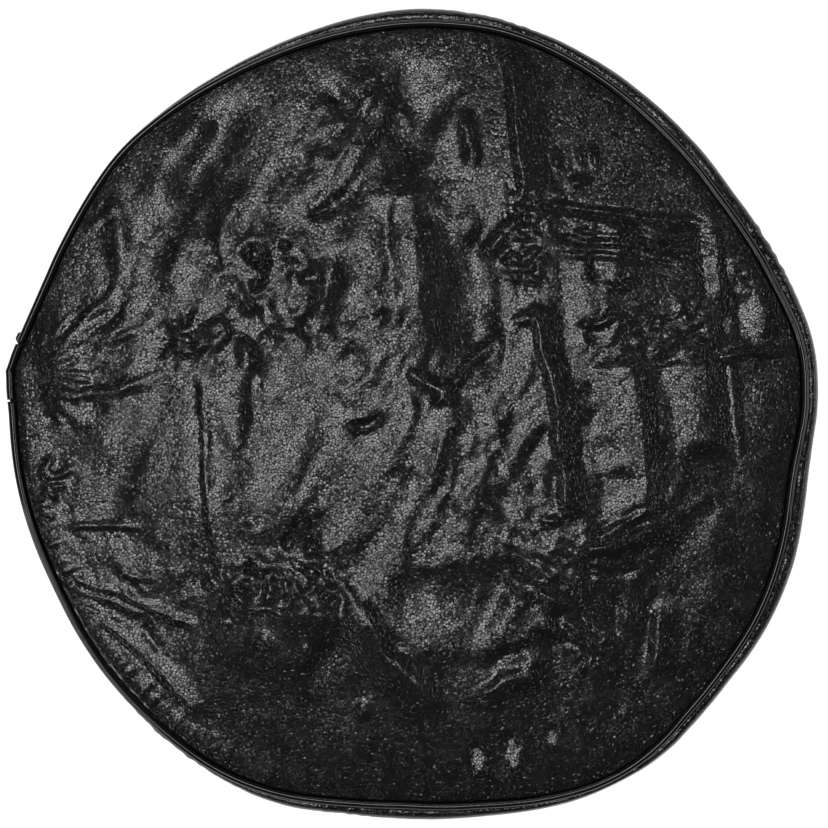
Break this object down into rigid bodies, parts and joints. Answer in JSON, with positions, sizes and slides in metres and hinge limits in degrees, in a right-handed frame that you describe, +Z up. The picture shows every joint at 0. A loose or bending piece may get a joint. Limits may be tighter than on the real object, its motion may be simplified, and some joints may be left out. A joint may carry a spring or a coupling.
{
  "type": "spare tire cover",
  "caption": "Soft vinyl cover for a spare tyre, lying empty and face up: round face panel, beaded welt, folded side band and elasticated mouth.",
  "frame": {"origin": "on the floor under the middle of the cover as it lies empty, face up", "axes": "+Z up, out of the face panel; +Y towards the top edge of the cover and +X to its right, seen from above"},
  "size_m": [0.7084, 0.7093, 0.0236],
  "materials": {
    "vinyl_face": "black vinyl with an embossed leather grain, satin",
    "vinyl_band": "black vinyl with an embossed leather grain, satin",
    "welt_vinyl": "smooth extruded black vinyl, glossy",
    "knit_backing": "grey brushed knit, matte",
    "elastic_white": "braided white elastic, matte",
    "thread_black": "bonded polyester thread, slight sheen",
    "thread_white": "polyester thread, slight sheen"
  },
  "bodies": {
    "back": {"side_band": "vinyl_band", "side_band_backing": "knit_backing", "band_lap": "vinyl_band", "lap_thread": "thread_black", "band_return": "vinyl_band", "band_return_backing": "knit_backing", "hem_casing": "vinyl_band", "hem_elastic": "elastic_white", "elastic_tack": "thread_white", "hem_thread": "thread_black"},
    "face": {"face_panel": "vinyl_face", "face_backing": "knit_backing", "welt_bead": "welt_vinyl", "welt_splice": "welt_vinyl", "seam_thread": "thread_black"}
  },
  "joints": [
    {"name": "band_unfold", "type": "slide", "parent": "back", "child": "face", "axis": [0, 0, 1], "range_m": [0, 0.15], "deforming": ["side_band", "side_band_backing", "band_lap", "lap_thread"]}
  ]
}
